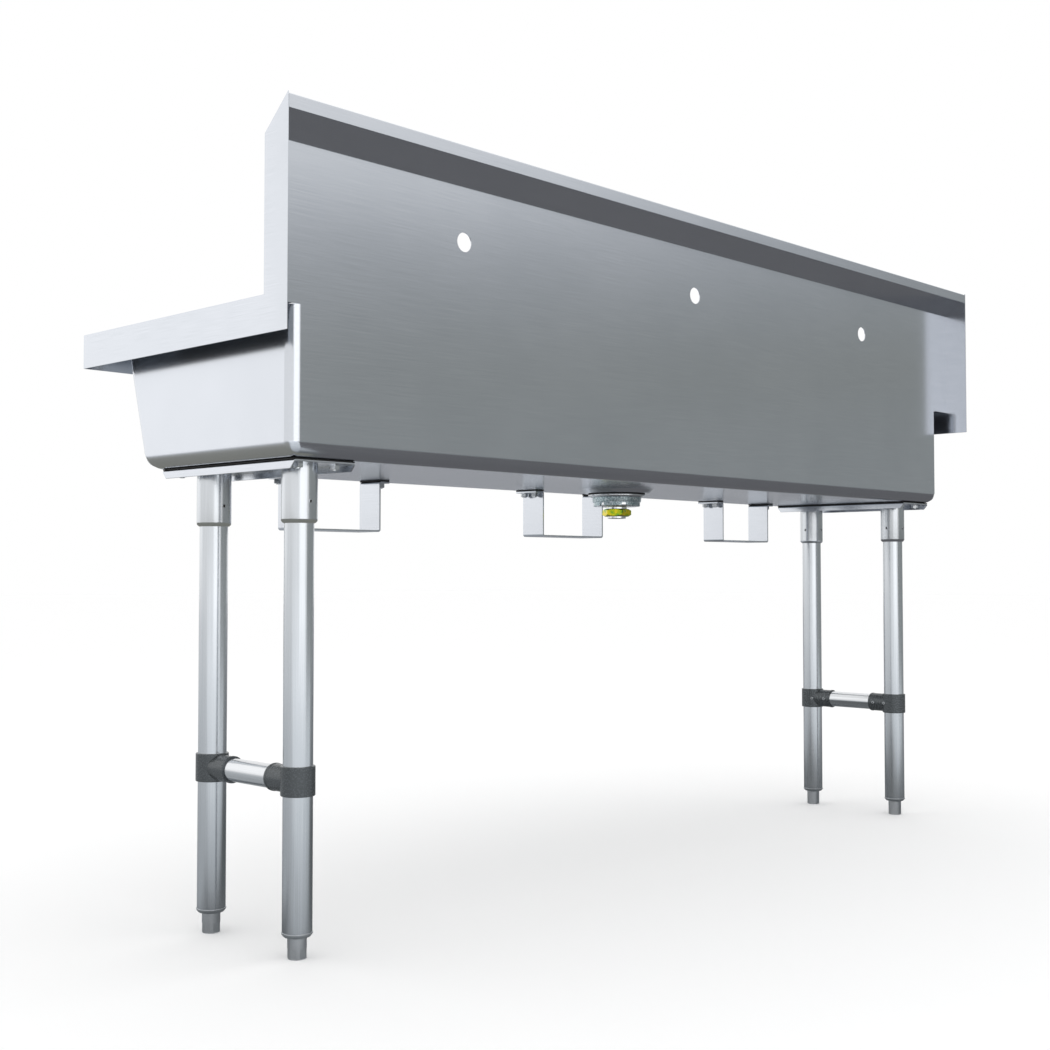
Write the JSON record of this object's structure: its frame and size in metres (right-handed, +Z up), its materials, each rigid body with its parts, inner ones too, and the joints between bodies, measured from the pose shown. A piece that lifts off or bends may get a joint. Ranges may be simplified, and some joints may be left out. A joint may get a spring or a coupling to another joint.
{
  "type": "utility laundry sink",
  "caption": "Free-standing stainless wash sink with a long single bowl, sloped-top backsplash, tap holes, basket drain, knee-valve brackets and braced tube legs on levelling feet.",
  "frame": {"origin": "on the floor, below the middle of the sink's length and depth", "axes": "+X to the right for a person at the front, +Y to the wall, +Z up"},
  "size_m": [1.8288, 0.508, 1.1358],
  "materials": {
    "stainless_sheet": "brushed sheet, satin",
    "stainless_tube": "drawn tube, satin",
    "polished_steel": "polished",
    "turned_steel": "machined, dull",
    "bright_fasteners": "bright plated",
    "blue_zinc": "die-cast, blue zinc plating",
    "yellow_zinc": "yellow chromate over zinc, iridescent",
    "black_rubber": "matt black",
    "charcoal_casting": "charcoal, satin"
  },
  "bodies": {
    "sink": {"basin": "stainless_sheet", "deck_rim": "stainless_sheet", "backsplash": "stainless_sheet", "end_cap_right": "stainless_sheet", "end_cap_left": "stainless_sheet", "strainer_body": "polished_steel", "drain_gasket": "black_rubber", "friction_washer": "blue_zinc", "drain_locknut": "blue_zinc", "coupling_washer": "black_rubber", "coupling_nut": "yellow_zinc", "tailpiece": "polished_steel", "leg_channel_right": "stainless_sheet", "leg_channel_left": "stainless_sheet", "channel_seal_right": "black_rubber", "channel_seal_left": "black_rubber", "leg_socket_right_rear": "stainless_tube", "leg_socket_right_front": "stainless_tube", "leg_socket_left_rear": "stainless_tube", "leg_socket_left_front": "stainless_tube", "leg_right_rear": "stainless_tube", "leg_right_front": "stainless_tube", "leg_left_rear": "stainless_tube", "leg_left_front": "stainless_tube", "foot_bushing_right_rear": "turned_steel", "foot_bushing_right_front": "turned_steel", "foot_bushing_left_rear": "turned_steel", "foot_bushing_left_front": "turned_steel", "brace_clamp_right_rear": "charcoal_casting", "brace_clamp_right_front": "charcoal_casting", "brace_clamp_left_rear": "charcoal_casting", "brace_clamp_left_front": "charcoal_casting", "brace_tube_right": "stainless_tube", "brace_tube_left": "stainless_tube", "knee_bracket_right": "stainless_sheet", "knee_bracket_centre": "stainless_sheet", "knee_bracket_left": "stainless_sheet", "bracket_pads": "black_rubber", "bracket_studs": "bright_fasteners", "bracket_nuts": "bright_fasteners", "channel_studs": "bright_fasteners", "channel_nuts": "bright_fasteners", "socket_screws": "bright_fasteners", "clamp_screws": "bright_fasteners"},
    "strainer_basket": {"basket_cup": "polished_steel", "basket_knob": "polished_steel", "basket_stopper": "black_rubber"},
    "foot_right_rear": {"foot_right_rear": "turned_steel"},
    "foot_right_front": {"foot_right_front": "turned_steel"},
    "foot_left_rear": {"foot_left_rear": "turned_steel"},
    "foot_left_front": {"foot_left_front": "turned_steel"}
  },
  "joints": [
    {"name": "basket_lift", "type": "slide", "parent": "sink", "child": "strainer_basket", "axis": [0, 0, 1], "range_m": [0, 0.25]},
    {"name": "foot_right_rear_screw", "type": "slide", "parent": "sink", "child": "foot_right_rear", "axis": [0, 0, -1], "range_m": [0, 0.025]},
    {"name": "foot_right_front_screw", "type": "slide", "parent": "sink", "child": "foot_right_front", "axis": [0, 0, -1], "range_m": [0, 0.025]},
    {"name": "foot_left_rear_screw", "type": "slide", "parent": "sink", "child": "foot_left_rear", "axis": [0, 0, -1], "range_m": [0, 0.025]},
    {"name": "foot_left_front_screw", "type": "slide", "parent": "sink", "child": "foot_left_front", "axis": [0, 0, -1], "range_m": [0, 0.025]}
  ]
}
